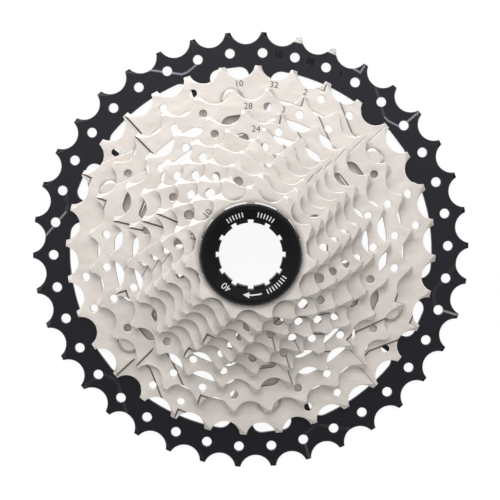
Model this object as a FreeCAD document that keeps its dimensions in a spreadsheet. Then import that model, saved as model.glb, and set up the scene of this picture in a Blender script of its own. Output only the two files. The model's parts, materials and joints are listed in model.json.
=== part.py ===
"""Ten-speed bicycle cassette: ten sprockets, two riveted carriers, spacers and a lockring.

The wheel axle is +Z. The origin is on that axis, in the plane where the largest sprocket's carrier
seats against the hub, so the stack rises from z = 0 towards the outside of the wheel.
Angles turn anticlockwise as seen from the lockring. Lengths are in millimetres.
"""
import FreeCAD, Part
import math
import os

import Sketcher

SIZES = (
    ("chain_pitch", 12.7, "between two rollers of the chain"),
    ("sprocket_spacing", 3.95, "from one sprocket's back to the next one's"),
    ("plate_thickness", 1.8, "of every sprocket plate"),
    ("tooth_above_pitch", 0.45, "tip circle outside the pitch circle, on the radius"),
    ("gullet_depth", 3.9, "gullet floor inside the pitch circle, on the radius"),
    ("gullet_radius", 4.03, "of a gullet, before the share that grows with the tooth count"),
    ("gullet_growth", 0.0424, "added to the gullet's radius for each tooth"),
    ("tip_bevel_reach", 0.8, "how far the bevel of a tooth's faces runs in from the tip"),
    ("tip_bevel_depth", 0.3, "depth of that bevel at the tip, on each face"),
    ("facet_inset", 1.1, "where a tooth's facet crosses its middle line, inside the tip circle"),
    ("facet_line_angle", 50, "turn of the facet's upper edge from the tooth's middle line, degrees"),
    ("facet_slope", 30, "slope of the facet down to the tooth's leading flank, degrees"),
    ("ramp_depth", 0.55, "depth of a shift ramp in a sprocket's front face"),
    ("ramp_slope", 48, "lean of the ramp's walls, degrees from upright"),
    ("ramp_drop", 8.4, "depth of a ramp's step line below the pitch circle"),
    ("ramp_dip", 1.9, "how much lower the ramp's floor line runs past its step line"),
    ("spline_bore", 17.5, "radius of the bore between the spline tabs"),
    ("spline_tab_depth", 1.4, "how far the spline tabs reach in from the bore"),
    ("tab_half_angle", 7.6, "half the width of a spline tab, degrees"),
    ("narrow_tab_half_angle", 4.9, "half the width of the one narrow tab, degrees"),
    ("hub_wall", 4.8, "from the spline bore out to the carriers' hub, on the radius"),
    ("spacer_wall", 4.0, "width of a spacer ring, on the radius"),
    ("spacer_clearance", 0.1, "spacer bore outside the spline bore, on the radius"),
    ("boss_wall", 3.6, "width of the boss on the 15 tooth sprocket, on the radius"),
    ("small_boss_wall", 0.9, "width of the boss on the 13 tooth sprocket, on the radius"),
    ("window_half_angle", 16.5, "half the opening of a wide window, degrees"),
    ("loose_window_half_angle", 14, "half the opening of a loose sprocket's window, degrees"),
    ("rim_38t", 8.8, "gullet floor to the window's outer edge"),
    ("rim_32t", 6.9, "gullet floor to the window's outer edge"),
    ("rim_28t", 5.0, "gullet floor to the window's outer edge"),
    ("rim_24t", 3.6, "gullet floor to the window's outer edge"),
    ("rim_loose", 4.6, "gullet floor to the window's outer edge on the loose sprockets"),
    ("window_corner", 4.0, "corner radius of the large sprockets' windows"),
    ("small_window_corner", 1.5, "corner radius of the loose sprockets' windows"),
    ("tab_corner", 2.0, "corner radius at the inner end of a spoke tab"),
    ("tooth_hole", 1.4, "radius of the lightening hole below a tooth"),
    ("large_tooth_hole", 1.7, "the same on the largest and on the 15 tooth sprocket"),
    ("tooth_hole_drop", 5.85, "hole centre below the pitch circle"),
    ("large_tooth_hole_drop", 6.9, "the same on the largest sprocket"),
    ("oval_half_length", 6.9, "half the length of the oval above each rivet of the largest sprocket"),
    ("oval_radius", 3.2, "half its width"),
    ("oval_rim", 8.1, "gullet floor to the oval's outer edge"),
    ("slot_end_radius", 3.6, "end radius of the slot in the 28 tooth sprocket's spoke tabs"),
    ("slot_half_length", 1.4, "between that slot's end centres, half"),
    ("slim_slot_radius", 1.9, "end radius of the slot in the 24 tooth sprocket's spoke tabs"),
    ("slim_slot_half_length", 2.2, "between that slot's end centres, half"),
    ("large_rivet_inset", 7.4, "large rivet circle inside the 32 tooth gullet floor"),
    ("large_tab_reach", 12.2, "how far a large spoke tab runs in from its rivet circle"),
    ("small_rivet_inset", 12.3, "small rivet circle inside the 24 tooth gullet floor"),
    ("small_tab_reach", 4.0, "how far a small spoke tab runs in from its rivet circle"),
    ("rivet_shank", 2.4, "radius of a large rivet"),
    ("rivet_head", 3.9, "radius of its head"),
    ("rivet_head_height", 0.9, "height of its head"),
    ("rivet_rim_height", 0.5, "height of the head's straight rim"),
    ("rivet_crown_inset", 0.7, "how much smaller the flat crown of the head is, on the radius"),
    ("small_rivet_shank", 1.7, "radius of a small rivet"),
    ("small_rivet_head", 2.9, "radius of its head"),
    ("countersink_depth", 0.9, "depth of the countersunk tail of a rivet"),
    ("arm_half_width", 7.5, "half the width of a large carrier's arm"),
    ("arm_end_half_width", 9.6, "half the width of its flared end"),
    ("arm_flare", 10.5, "where the flare starts, inside the rivet circle"),
    ("arm_end_reach", 4.3, "how far the arm runs out past its rivet circle"),
    ("arm_corner", 3.0, "corner radius of an arm's end"),
    ("arm_slot_radius", 3.6, "half the width of the slot in an arm"),
    ("arm_slot_inset", 15.3, "slot's middle inside the rivet circle"),
    ("arm_slot_half_length", 0.9, "between the slot's end centres, half"),
    ("small_arm_half_width", 6.6, "half the width of a small carrier's arm"),
    ("small_arm_end_reach", 3.9, "how far it runs out past its rivet circle"),
    ("washer_thickness", 0.5, "of the washer under the lockring"),
    ("flange_overhang", 1.8, "lockring's flange outside its thread, on the radius"),
    ("flange_thickness", 2.0, "of the lockring's flange"),
    ("flange_bevel", 0.55, "bevel round the flange's top edge"),
    ("knurl_depth", 0.25, "depth of the notches round the flange"),
    ("freehub_wall", 0.8, "from the spline tabs' tips in to the crest of the lockring's thread"),
    ("thread_depth", 0.55, "crest to root of the thread"),
    ("thread_pitch", 1.058, "24 turns to the inch"),
    ("sleeve_length", 5.6, "threaded sleeve below the flange"),
    ("sleeve_clearance", 0.3, "washer bore outside the thread, on the radius"),
    ("sleeve_wall", 4.6, "from the thread's crest in to the lockring's bore"),
    ("tool_notch_depth", 1.05, "depth of the tool notches in the bore"),
    ("dish_step", 0.22, "from the notches' floor out to where the dished face starts"),
    ("tool_notch_half_angle", 4.8, "half the width of a notch, degrees"),
    ("face_dish", 0.35, "how far the lockring's face sinks towards the bore"),
)

TEETH = (38, 32, 28, 24, 21, 19, 17, 15, 13, 11)
# Angle of tooth 0 of each sprocket: each one is timed so that the chain can climb.
FIRST_TOOTH = {38: 1.3, 32: 8.9, 28: 6.2, 24: 2.0, 21: 13.9, 19: 11.8, 17: 8.4, 15: 4.0, 13: 24.7, 11: 22.5}
# The teeth that have a lightening hole below them.
HOLE_TEETH = {
    38: range(38),
    32: (0, 1, 4, 5, 9, 10, 12, 16, 17, 20, 21, 25, 26, 28),
    28: (0, 1, 2, 4, 5, 6, 8, 9, 11, 13, 14, 15, 16, 18, 19, 20, 22, 23, 25, 27),
    24: (0, 1, 5, 7, 8, 9, 13, 15, 16, 17, 21, 23),
    21: (0, 4, 6, 7, 9, 10, 14, 15, 16, 17, 18, 20),
    19: (0, 6, 7, 9, 13, 15, 16, 18),
    17: (0, 5, 6, 8, 9, 12, 13, 14, 15, 16),
    15: (0, 1, 4, 5, 6, 7, 8, 11, 12, 13, 14),
}
# The teeth where a shift ramp starts, and those cut back to half their thickness beside a ramp.
RAMP_TEETH = {
    38: (4, 11, 17, 23, 30, 36),
    32: (3, 11, 19, 27),
    28: (3, 10, 17, 24),
    24: (3, 11, 19),
    21: (2, 9, 16),
    19: (2, 8, 15),
    17: (2, 7, 13),
}
STUB_TEETH = {38: (7, 8)}
HALF_TEETH = {38: (6,), 32: (5, 13, 21, 29), 28: (5, 12, 19, 26), 24: (5, 13, 21), 21: (13,), 17: (11,)}
ARM_COUNT = 6
ARM_ANGLE = 37
WINDOW_ANGLE = 7
SPLINE_COUNT = 9
SPLINE_ANGLE = 90
TOOL_NOTCH_COUNT = 12
KNURL_COUNT = 120
THREAD_RIDGES = 5
FAR_OUT = 4  # how far past the material a cutting outline runs
FACET_BLOCK = 3.5  # size of the block that cuts a facet, in facet insets
OVERLAP = 0.3  # share of a ring's wall that a tab or arm sinks into it
NO_LENGTH = "(0 * sizes.plate_thickness)"
UP = FreeCAD.Vector(0, 0, 1)


def make_sheet(doc):
    """The spreadsheet of driving dimensions: name, value and what it is."""
    sheet = doc.addObject("Spreadsheet::Sheet", "sizes")
    for row, (alias, value, note) in enumerate(SIZES, start=1):
        sheet.set(f"A{row}", alias)
        sheet.set(f"B{row}", str(value))
        sheet.setAlias(f"B{row}", alias)
        sheet.set(f"C{row}", note)
    doc.recompute()
    return sheet


# Expressions for the sizes that follow from the sheet.


def pitch_radius(teeth):
    return f"(sizes.chain_pitch / 2 / sin(180 / {teeth}))"


def tip_radius(teeth):
    return f"({pitch_radius(teeth)} + sizes.tooth_above_pitch)"


def root_radius(teeth):
    return f"({pitch_radius(teeth)} - sizes.gullet_depth)"


def back_of(teeth):
    return f"(sizes.sprocket_spacing * {TEETH.index(teeth)})"


def front_of(teeth):
    return f"({back_of(teeth)} + sizes.plate_thickness)"


GAP = "(sizes.sprocket_spacing - sizes.plate_thickness)"
HUB = "(sizes.spline_bore + sizes.hub_wall)"
TAB_TIP = "(sizes.spline_bore - sizes.spline_tab_depth)"
THREAD = f"({TAB_TIP} - sizes.freehub_wall)"
FLANGE = f"({THREAD} + sizes.flange_overhang)"
TOOL_BORE = f"({THREAD} - sizes.sleeve_wall)"
TOOL_NOTCH = f"({TOOL_BORE} + sizes.tool_notch_depth)"
LARGE_RIVET_CIRCLE = f"({root_radius(32)} - sizes.large_rivet_inset)"
SMALL_RIVET_CIRCLE = f"({root_radius(24)} - sizes.small_rivet_inset)"
LARGE_TAB_END = f"({LARGE_RIVET_CIRCLE} - sizes.large_tab_reach)"
SMALL_TAB_END = f"({SMALL_RIVET_CIRCLE} - sizes.small_tab_reach)"
FLANGE_SEAT = f"({front_of(TEETH[-1])} + sizes.washer_thickness)"


class Piece:
    """One PartDesign body, with the steps that shape it."""

    def __init__(self, doc, label, base="0"):
        self.doc = doc
        self.label = label
        self.body = doc.addObject("PartDesign::Body", label)
        self.body.Label = label
        self.body.setExpression("Placement.Base.z", base)

    def origin_feature(self, role):
        return next(item for item in self.body.Origin.OriginFeatures if item.Role == role)

    def sketch(self, name, plane="XY_Plane", turn="0", along="0", lift="0"):
        """A sketch on one of the body's own planes, turned about its normal and shifted along X or its normal."""
        sketch = self.body.newObject("Sketcher::SketchObject", f"{self.label}_{name}")
        sketch.AttachmentSupport = (self.origin_feature(plane), [""])
        sketch.MapMode = "FlatFace"
        sketch.AttachmentOffset = FreeCAD.Placement(
            FreeCAD.Vector(), FreeCAD.Rotation(UP, 1)
        )
        sketch.setExpression("AttachmentOffset.Rotation.Angle", turn)
        sketch.setExpression("AttachmentOffset.Base.x", along)
        sketch.setExpression("AttachmentOffset.Base.z", lift)
        return sketch

    def upright_sketch(self, name, away="0", turn="0"):
        """A sketch in a plane through the axle's direction, its origin at polar (away, turn)."""
        sketch = self.sketch(name, plane="XZ_Plane", along=f"{away} * cos({turn})", lift=f"-{away} * sin({turn})")
        sketch.setExpression("AttachmentOffset.Rotation.Angle", None)
        sketch.AttachmentOffset = FreeCAD.Placement(
            FreeCAD.Vector(), FreeCAD.Rotation(FreeCAD.Vector(0, 1, 0), 1)
        )
        sketch.setExpression("AttachmentOffset.Rotation.Angle", turn)
        return sketch

    def value(self, expression):
        return float(self.body.evalExpression(expression))

    def bind(self, sketch, kind, where, expression):
        """One driving constraint of a sketch, bound to an expression."""
        index = sketch.addConstraint(Sketcher.Constraint(kind, *where, self.value(expression)))
        sketch.setExpression(f"Constraints[{index}]", expression)

    def place_point(self, sketch, geometry, point, across, up):
        """Holds a point of the sketch's geometry at (across, up) from the origin."""
        self.bind(sketch, "DistanceX", (-1, 1, geometry, point), across)
        self.bind(sketch, "DistanceY", (-1, 1, geometry, point), up)

    def circle(self, sketch, radius, away="0", turn="0"):
        """A circle whose centre is at polar (away, turn)."""
        across, up = f"{away} * cos({turn})", f"{away} * sin({turn})"
        centre = FreeCAD.Vector(self.value(across), self.value(up), 0)
        index = sketch.addGeometry(Part.Circle(centre, UP, self.value(radius)))
        self.bind(sketch, "Radius", (index,), radius)
        if away == "0":
            sketch.addConstraint(Sketcher.Constraint("Coincident", index, 3, -1, 1))
        else:
            self.place_point(sketch, index, 3, across, up)

    def outline(self, sketch, points):
        """A closed outline of straight edges through points given as (across, up) expressions."""
        places = [FreeCAD.Vector(self.value(a), self.value(u), 0) for a, u in points]
        first = None
        for number, (across, up) in enumerate(points):
            edge = Part.LineSegment(places[number], places[(number + 1) % len(points)])
            index = sketch.addGeometry(edge)
            first = index if first is None else first
            self.place_point(sketch, index, 1, across, up)
            if number:
                sketch.addConstraint(Sketcher.Constraint("Coincident", index - 1, 2, index, 1))
        sketch.addConstraint(Sketcher.Constraint("Coincident", index, 2, first, 1))

    def sector(self, sketch, inner, outer, half_angle):
        """A closed ring sector about the sketch's X axis."""
        spread = math.radians(self.value(half_angle))
        corners = []
        for radius in (inner, outer):
            circle = Part.Circle(FreeCAD.Vector(), UP, self.value(radius))
            arc = sketch.addGeometry(Part.ArcOfCircle(circle, -spread, spread))
            sketch.addConstraint(Sketcher.Constraint("Coincident", arc, 3, -1, 1))
            self.bind(sketch, "Radius", (arc,), radius)
            self.bind(sketch, "DistanceY", (arc, 1, -1, 1), f"{radius} * sin({half_angle})")
            self.bind(sketch, "DistanceY", (-1, 1, arc, 2), f"{radius} * sin({half_angle})")
            corners.append(arc)
        for end, sign in ((1, -1), (2, 1)):
            ends = [
                FreeCAD.Vector(
                    self.value(radius) * math.cos(spread), sign * self.value(radius) * math.sin(spread), 0
                )
                for radius in (inner, outer)
            ]
            side = sketch.addGeometry(Part.LineSegment(*ends))
            sketch.addConstraint(Sketcher.Constraint("Coincident", side, 1, corners[0], end))
            sketch.addConstraint(Sketcher.Constraint("Coincident", side, 2, corners[1], end))

    def slot(self, sketch, centre, half_length, radius, across=False):
        """A round-ended slot on the X axis: along it, or across it."""
        middle, half, size = self.value(centre), self.value(half_length), self.value(radius)
        step = FreeCAD.Vector(0, half, 0) if across else FreeCAD.Vector(half, 0, 0)
        side = FreeCAD.Vector(size, 0, 0) if across else FreeCAD.Vector(0, size, 0)
        start = math.pi if across else math.pi / 2
        arcs = []
        for sign in (-1, 1):
            circle = Part.Circle(FreeCAD.Vector(middle, 0, 0) + step * sign, UP, size)
            begin = start if sign < 0 else start + math.pi
            arcs.append(sketch.addGeometry(Part.ArcOfCircle(circle, begin, begin + math.pi)))
            moved = f"{centre} + {sign} * {half_length}"
            place = (centre, f"{sign} * {half_length}") if across else (moved, "0 * " + half_length)
            self.place_point(sketch, arcs[-1], 3, *place)
        low, high = arcs
        centre_point = FreeCAD.Vector(middle, 0, 0)
        edges = []
        for sign in (-1, 1):
            edge = Part.LineSegment(centre_point - step + side * sign, centre_point + step + side * sign)
            edges.append(sketch.addGeometry(edge))
        first_side = -1 if across else 1
        for sign, edge in zip((-1, 1), edges):
            low_end, high_end = (1, 2) if sign == first_side else (2, 1)
            sketch.addConstraint(Sketcher.Constraint("Tangent", edge, 1, low, low_end))
            sketch.addConstraint(Sketcher.Constraint("Tangent", edge, 2, high, high_end))
        self.bind(sketch, "Radius", (low,), radius)

    def grow(self, kind, name, sketch, **settings):
        """Adds a PartDesign feature made from a sketch and makes it the body's tip."""
        feature = self.body.newObject(f"PartDesign::{kind}", f"{self.label}_{name}")
        feature.Profile = sketch
        for key, setting in settings.items():
            if isinstance(setting, str) and key in ("Length", "Angle", "TaperAngle"):
                feature.setExpression(key, setting)
            else:
                setattr(feature, key, setting)
        return feature

    def pad(self, name, sketch, length, **settings):
        return self.grow("Pad", name, sketch, Length=length, **settings)

    def cut_through(self, name, sketch):
        """A pocket both ways from the sketch, through everything."""
        return self.grow("Pocket", name, sketch, Type="ThroughAll", Midplane=True)

    def cut_down(self, name, sketch, depth, slope):
        """A pocket down from the sketch's plane, with walls that lean in by the slope, degrees."""
        return self.grow("Pocket", name, sketch, Length=depth, TaperAngle=f"-({slope})")

    def spin(self, kind, name, sketch):
        """A Revolution or Groove about the sketch's vertical axis."""
        return self.grow(kind, name, sketch, ReferenceAxis=(sketch, ["V_Axis"]), Angle=360)

    def repeat(self, name, features, count, angle=360):
        """Repeats features round the axle."""
        pattern = self.body.newObject("PartDesign::PolarPattern", f"{self.label}_{name}")
        pattern.Originals = features
        pattern.Axis = (self.origin_feature("Z_Axis"), [""])
        pattern.Angle = angle
        pattern.Occurrences = count
        self.body.Tip = pattern
        return pattern

    def round_corners(self, name, corner_radius, at_radius):
        """Rounds the upright edges that stand on the circle of at_radius."""
        self.doc.recompute()
        tip = self.body.Tip
        wanted = self.value(at_radius)
        edges = []
        for number, edge in enumerate(tip.Shape.Edges, start=1):
            low, high = edge.Vertexes[0].Point, edge.Vertexes[-1].Point
            upright = math.hypot(low.x - high.x, low.y - high.y) < 0.001 < abs(low.z - high.z)
            if upright and abs(math.hypot(low.x, low.y) - wanted) < 0.01:
                edges.append(f"Edge{number}")
        fillet = self.body.newObject("PartDesign::Fillet", f"{self.label}_{name}")
        fillet.Base = (tip, edges)
        fillet.setExpression("Radius", corner_radius)
        return fillet

    def ring(self, name, inner, outer, length, lift="0"):
        """A flat ring about the axle."""
        sketch = self.sketch(f"{name}_outline", lift=lift)
        self.circle(sketch, outer)
        self.circle(sketch, inner)
        return self.pad(name, sketch, length)

    def spline_tabs(self, length, lift="0"):
        """Nine tabs into the freehub's grooves, one of them narrow so that the piece fits only one way."""
        overlap = f"(sizes.spline_bore + {OVERLAP} * sizes.hub_wall)"
        wide = self.sketch("tab_outline", turn=f"{SPLINE_ANGLE} + 360 / {SPLINE_COUNT}", lift=lift)
        self.sector(wide, TAB_TIP, overlap, "sizes.tab_half_angle")
        tab = self.pad("tab", wide, length)
        step = 360 / SPLINE_COUNT
        self.repeat("tabs", [tab], SPLINE_COUNT - 1, step * (SPLINE_COUNT - 2))
        narrow = self.sketch("narrow_tab_outline", turn=str(SPLINE_ANGLE), lift=lift)
        self.sector(narrow, TAB_TIP, overlap, "sizes.narrow_tab_half_angle")
        self.pad("narrow_tab", narrow, length)


def polar(radius, turn):
    """A point of an outline, from its radius and angle."""
    return f"{radius} * cos({turn})", f"{radius} * sin({turn})"


def tooth_angle(teeth, number):
    return f"({FIRST_TOOTH[teeth]} + {number} * 360 / {teeth})"


def cut_teeth(piece, teeth):
    """Gullets round a blank, with the teeth bevelled on both faces and on their leading flank."""
    growth = f"(sizes.gullet_radius + sizes.gullet_growth * {teeth})"
    gullet = piece.sketch("gullet_outline", turn=tooth_angle(teeth, 0.5))
    piece.circle(gullet, growth, away=f"({root_radius(teeth)} + {growth})")
    piece.repeat("gullets", [piece.cut_through("gullet", gullet)], teeth)

    bevel = piece.upright_sketch("tip_bevel_outline")
    start = f"({tip_radius(teeth)} - sizes.tip_bevel_reach)"
    end = f"({tip_radius(teeth)} + sizes.tip_bevel_reach)"
    front = "sizes.plate_thickness"
    double = "2 * sizes.tip_bevel_depth"
    piece.outline(bevel, [(start, front), (end, front), (end, f"{front} - {double}")])
    piece.outline(bevel, [(start, "0"), (end, "0"), (end, double)])
    piece.spin("Groove", "tip_bevel", bevel)
    cut_facets(piece, teeth)


def cut_facets(piece, teeth):
    """One sloping facet per tooth, cut by a tilted block over the leading corner of its tip.

    The facet's upper edge crosses the tooth's front face at a slant, from the trailing end of its top
    land to its leading flank, and the facet falls away from that edge towards the leading corner.
    """
    inset = piece.value("sizes.facet_inset")
    size = FACET_BLOCK * inset
    about_axle = FreeCAD.Rotation(UP, piece.value(tooth_angle(teeth, 0)))
    across = FreeCAD.Rotation(UP, piece.value("sizes.facet_line_angle"))
    slope = FreeCAD.Rotation(FreeCAD.Vector(1, 0, 0), piece.value("sizes.facet_slope"))
    start = FreeCAD.Vector(piece.value(tip_radius(teeth)) - inset, 0, piece.value("sizes.plate_thickness"))
    turned = about_axle * across * slope
    low_corner = turned.multVec(FreeCAD.Vector(-size, -size, 0))
    block = piece.body.newObject("PartDesign::SubtractiveBox", f"{piece.label}_facet_block")
    block.setExpression("Length", f"2 * {FACET_BLOCK} * sizes.facet_inset")
    block.setExpression("Width", f"{FACET_BLOCK} * sizes.facet_inset")
    block.setExpression("Height", f"{FACET_BLOCK} * sizes.facet_inset")
    block.AttachmentSupport = (piece.origin_feature("XY_Plane"), [""])
    block.MapMode = "FlatFace"
    block.AttachmentOffset = FreeCAD.Placement(about_axle.multVec(start) + low_corner, turned)
    piece.repeat("facets", [block], teeth)


def cut_holes(piece, teeth, radius, drop):
    """Lightening holes below chosen teeth."""
    sketch = piece.sketch("tooth_holes_outline")
    for number in HOLE_TEETH.get(teeth, ()):
        away = f"({pitch_radius(teeth)} - {drop})"
        piece.circle(sketch, radius, away=away, turn=tooth_angle(teeth, number))
    piece.cut_through("tooth_holes", sketch)


def ramp_outline(teeth):
    """Corners of a shift ramp as (radius, pitch angles past its first tooth).

    A step line runs down the middle of the first tooth, a low shelf leads on from it, and the floor
    comes out at the next gullet but one.
    """
    shelf = f"({pitch_radius(teeth)} - sizes.ramp_drop)"
    dip = f"({shelf} - sizes.ramp_dip)"
    exit_radius = f"({root_radius(teeth)} + 0.1 * sizes.gullet_depth)"
    beyond = f"({tip_radius(teeth)} + {FAR_OUT})"
    return ((shelf, 0), (dip, 0.42), (dip, 0.62), (exit_radius, 1.52), (beyond, 1.52), (beyond, 0))


def half_tooth_outline(teeth):
    """Corners of the recess that thins the trailing half of a tooth that the chain has to pass."""
    inner = f"({root_radius(teeth)} + 0.15 * sizes.gullet_depth)"
    beyond = f"({tip_radius(teeth)} + {FAR_OUT})"
    return ((inner, 0), (inner, 0.3), (beyond, 0.3), (beyond, 0))


def stub_outline(teeth):
    """Corners of the recess that thins the whole tip of a tooth."""
    inner = f"({tip_radius(teeth)} - 1.2 * sizes.facet_inset)"
    beyond = f"({tip_radius(teeth)} + {FAR_OUT})"
    return ((inner, -0.3), (inner, 0.3), (beyond, 0.3), (beyond, -0.3))


def cut_ramps(piece, teeth):
    """Recesses in the front face that lift the chain on to this sprocket."""
    if teeth not in RAMP_TEETH:
        return
    sketch = piece.sketch("ramps_outline", lift="sizes.plate_thickness")
    for numbers, corners in (
        (RAMP_TEETH[teeth], ramp_outline(teeth)),
        (HALF_TEETH.get(teeth, ()), half_tooth_outline(teeth)),
        (STUB_TEETH.get(teeth, ()), stub_outline(teeth)),
    ):
        for number in numbers:
            piece.outline(sketch, [polar(r, tooth_angle(teeth, number + share)) for r, share in corners])
    piece.cut_down("ramps", sketch, "sizes.ramp_depth", "sizes.ramp_slope")


def cut_windows(piece, inner, outer, half_angle, corner):
    """Six wide windows between the carrier's arms, with rounded outer corners."""
    sketch = piece.sketch("window_outline", turn=str(WINDOW_ANGLE))
    piece.sector(sketch, inner, outer, half_angle)
    piece.repeat("windows", [piece.cut_through("window", sketch)], ARM_COUNT)
    piece.round_corners("window_corners", corner, outer)


def blank(doc, teeth, bore):
    """A plain sprocket disc at its height in the stack."""
    piece = Piece(doc, f"sprocket_{teeth}t", back_of(teeth))
    piece.ring("plate", bore, tip_radius(teeth), "sizes.plate_thickness")
    return piece


def riveted_sprocket(doc, teeth, tab_end, rim, rivet_circle, shank):
    """A sprocket ring with six spoke tabs, each riveted to an arm of a carrier."""
    piece = blank(doc, teeth, tab_end)
    cut_teeth(piece, teeth)
    outer = f"({root_radius(teeth)} - {rim})"
    cut_windows(piece, f"({tab_end} - {FAR_OUT})", outer, "sizes.window_half_angle", "sizes.window_corner")
    piece.round_corners("tab_corners", "sizes.tab_corner", tab_end)
    rivet_hole = piece.sketch("rivet_hole_outline", turn=str(ARM_ANGLE))
    piece.circle(rivet_hole, shank, away=rivet_circle)
    piece.repeat("rivet_holes", [piece.cut_through("rivet_hole", rivet_hole)], ARM_COUNT)
    return piece


def cut_slots(piece, centre, half_length, radius, across):
    """One round-ended slot in each spoke tab or arm."""
    sketch = piece.sketch("slot_outline", turn=str(ARM_ANGLE))
    piece.slot(sketch, centre, half_length, radius, across)
    piece.repeat("slots", [piece.cut_through("slot", sketch)], ARM_COUNT)


def countersink(piece, rivet_circle, shank):
    """Conical seats in a back face for the rivets' tails."""
    cone = piece.upright_sketch("countersink_outline", rivet_circle, str(ARM_ANGLE))
    deep = "sizes.countersink_depth"
    piece.outline(cone, [(NO_LENGTH, "0"), (f"{shank} + {deep}", "0"), (shank, deep), (NO_LENGTH, deep)])
    piece.repeat("countersinks", [piece.spin("Groove", "countersink", cone)], ARM_COUNT)


def build_riveted_sprockets(doc):
    piece = riveted_sprocket(
        doc, 38, LARGE_TAB_END, "sizes.rim_38t", LARGE_RIVET_CIRCLE, "sizes.rivet_shank"
    )
    oval = f"({root_radius(38)} - sizes.oval_rim - sizes.oval_radius)"
    half = "(sizes.oval_half_length - sizes.oval_radius)"
    cut_slots(piece, oval, half, "sizes.oval_radius", True)
    countersink(piece, LARGE_RIVET_CIRCLE, "sizes.rivet_shank")
    cut_holes(piece, 38, "sizes.large_tooth_hole", "sizes.large_tooth_hole_drop")
    cut_ramps(piece, 38)

    piece = riveted_sprocket(
        doc, 32, LARGE_TAB_END, "sizes.rim_32t", LARGE_RIVET_CIRCLE, "sizes.rivet_shank"
    )
    cut_holes(piece, 32, "sizes.tooth_hole", "sizes.tooth_hole_drop")
    cut_ramps(piece, 32)

    piece = riveted_sprocket(
        doc, 28, SMALL_TAB_END, "sizes.rim_28t", SMALL_RIVET_CIRCLE, "sizes.small_rivet_shank"
    )
    slot = f"({root_radius(28)} - sizes.rim_28t - sizes.slot_end_radius)"
    cut_slots(piece, slot, "sizes.slot_half_length", "sizes.slot_end_radius", True)
    countersink(piece, SMALL_RIVET_CIRCLE, "sizes.small_rivet_shank")
    cut_holes(piece, 28, "sizes.tooth_hole", "sizes.tooth_hole_drop")
    cut_ramps(piece, 28)

    piece = riveted_sprocket(
        doc, 24, SMALL_TAB_END, "sizes.rim_24t", SMALL_RIVET_CIRCLE, "sizes.small_rivet_shank"
    )
    slot = f"({root_radius(24)} - sizes.rim_24t - sizes.slim_slot_radius)"
    cut_slots(piece, slot, "sizes.slim_slot_half_length", "sizes.slim_slot_radius", True)
    cut_holes(piece, 24, "sizes.tooth_hole", "sizes.tooth_hole_drop")
    cut_ramps(piece, 24)


def build_loose_sprockets(doc):
    """The sprockets that sit on the splines themselves."""
    for teeth in TEETH[4:]:
        piece = blank(doc, teeth, "sizes.spline_bore")
        if teeth in BOSSES:
            piece.ring("boss", "sizes.spline_bore", BOSSES[teeth], GAP, lift="sizes.plate_thickness")
        cut_teeth(piece, teeth)
        piece.spline_tabs("sizes.plate_thickness")
        if teeth in WINDOWED:
            outer = f"({root_radius(teeth)} - sizes.rim_loose)"
            cut_windows(piece, HUB, outer, "sizes.loose_window_half_angle", "sizes.small_window_corner")
        if teeth in HOLE_TEETH:
            hole = "sizes.large_tooth_hole" if teeth == 15 else "sizes.tooth_hole"
            cut_holes(piece, teeth, hole, "sizes.tooth_hole_drop")
        cut_ramps(piece, teeth)


BOSSES = {
    15: "(sizes.spline_bore + sizes.boss_wall)",
    13: "(sizes.spline_bore + sizes.small_boss_wall)",
}
WINDOWED = (21, 19, 17)


def build_carrier(doc, label, below, half_width, end):
    """A splined hub with six arms that lie between two sprockets."""
    piece = Piece(doc, label, back_of(below))
    height = f"(sizes.plate_thickness + {GAP} + sizes.plate_thickness)"
    piece.ring("hub", "sizes.spline_bore", HUB, height)
    root = f"({HUB} - {OVERLAP} * sizes.hub_wall)"
    flare, end_half = end["flare"], end["half_width"]
    arm = piece.sketch("arm_outline", turn=str(ARM_ANGLE), lift="sizes.plate_thickness")
    side = [(root, half_width), (flare, half_width), (end["shoulder"], end_half), (end["reach"], end_half)]
    mirrored = [(across, f"-{up}") for across, up in reversed(side)]
    piece.outline(arm, side + mirrored)
    piece.repeat("arms", [piece.pad("arm", arm, GAP)], ARM_COUNT)
    corner = f"sqrt({end['reach']} ^ 2 + {end_half} ^ 2)"
    piece.round_corners("arm_corners", "sizes.arm_corner", corner)
    rivet_hole = piece.sketch("rivet_hole_outline", turn=str(ARM_ANGLE))
    piece.circle(rivet_hole, end["shank"], away=end["circle"])
    piece.repeat("rivet_holes", [piece.cut_through("rivet_hole", rivet_hole)], ARM_COUNT)
    piece.spline_tabs(height)
    return piece


def build_carriers(doc):
    large = {
        "circle": LARGE_RIVET_CIRCLE,
        "shank": "sizes.rivet_shank",
        "flare": f"({LARGE_RIVET_CIRCLE} - sizes.arm_flare)",
        "shoulder": f"({LARGE_RIVET_CIRCLE} - 0.25 * sizes.arm_flare)",
        "reach": f"({LARGE_RIVET_CIRCLE} + sizes.arm_end_reach)",
        "half_width": "sizes.arm_end_half_width",
    }
    piece = build_carrier(doc, "large_carrier", 38, "sizes.arm_half_width", large)
    slot = f"({LARGE_RIVET_CIRCLE} - sizes.arm_slot_inset)"
    cut_slots(piece, slot, "sizes.arm_slot_half_length", "sizes.arm_slot_radius", False)

    small = {
        "circle": SMALL_RIVET_CIRCLE,
        "shank": "sizes.small_rivet_shank",
        "flare": f"({SMALL_RIVET_CIRCLE} - sizes.small_arm_end_reach)",
        "shoulder": SMALL_RIVET_CIRCLE,
        "reach": f"({SMALL_RIVET_CIRCLE} + sizes.small_arm_end_reach)",
        "half_width": "sizes.small_arm_half_width",
    }
    build_carrier(doc, "small_carrier", 28, "sizes.small_arm_half_width", small)


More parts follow.
